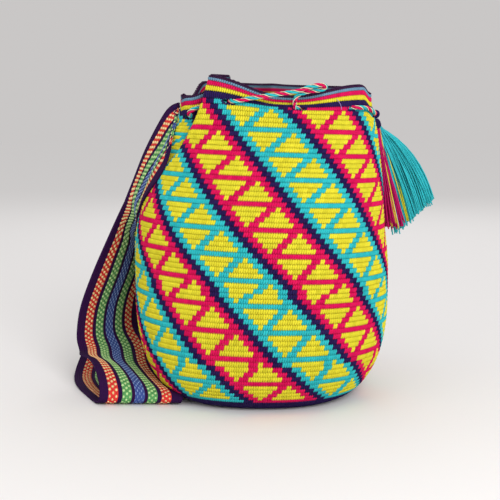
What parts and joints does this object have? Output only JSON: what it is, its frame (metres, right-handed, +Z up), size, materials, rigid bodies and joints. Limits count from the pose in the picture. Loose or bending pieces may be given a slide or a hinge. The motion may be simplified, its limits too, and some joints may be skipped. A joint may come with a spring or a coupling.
{
  "type": "wayuu mochila bag",
  "caption": "Crocheted bucket bag with a wide woven shoulder strap, a laced drawstring and yarn tassels, standing filled.",
  "frame": {"origin": "middle of the flat base, on the surface that the bag stands on", "axes": "+Z up through the mouth, -Y out of the front, +X to the bag's right as seen from the front"},
  "size_m": [0.3849, 0.3162, 0.3132],
  "materials": {
    "bag_body": "matte",
    "shoulder_strap": "matte",
    "drawstring": "matte",
    "tassel_head_magenta": "matte",
    "tassel_head_turquoise": "matte",
    "tassel_skirt_magenta": "matte",
    "tassel_skirt_turquoise": "matte"
  },
  "bodies": {
    "root": {"bag_body": "bag_body", "shoulder_strap": "shoulder_strap", "drawstring": "drawstring", "tassel_head_magenta": "tassel_head_magenta", "tassel_head_turquoise": "tassel_head_turquoise", "tassel_skirt_magenta": "tassel_skirt_magenta", "tassel_skirt_turquoise": "tassel_skirt_turquoise"}
  },
  "joints": []
}
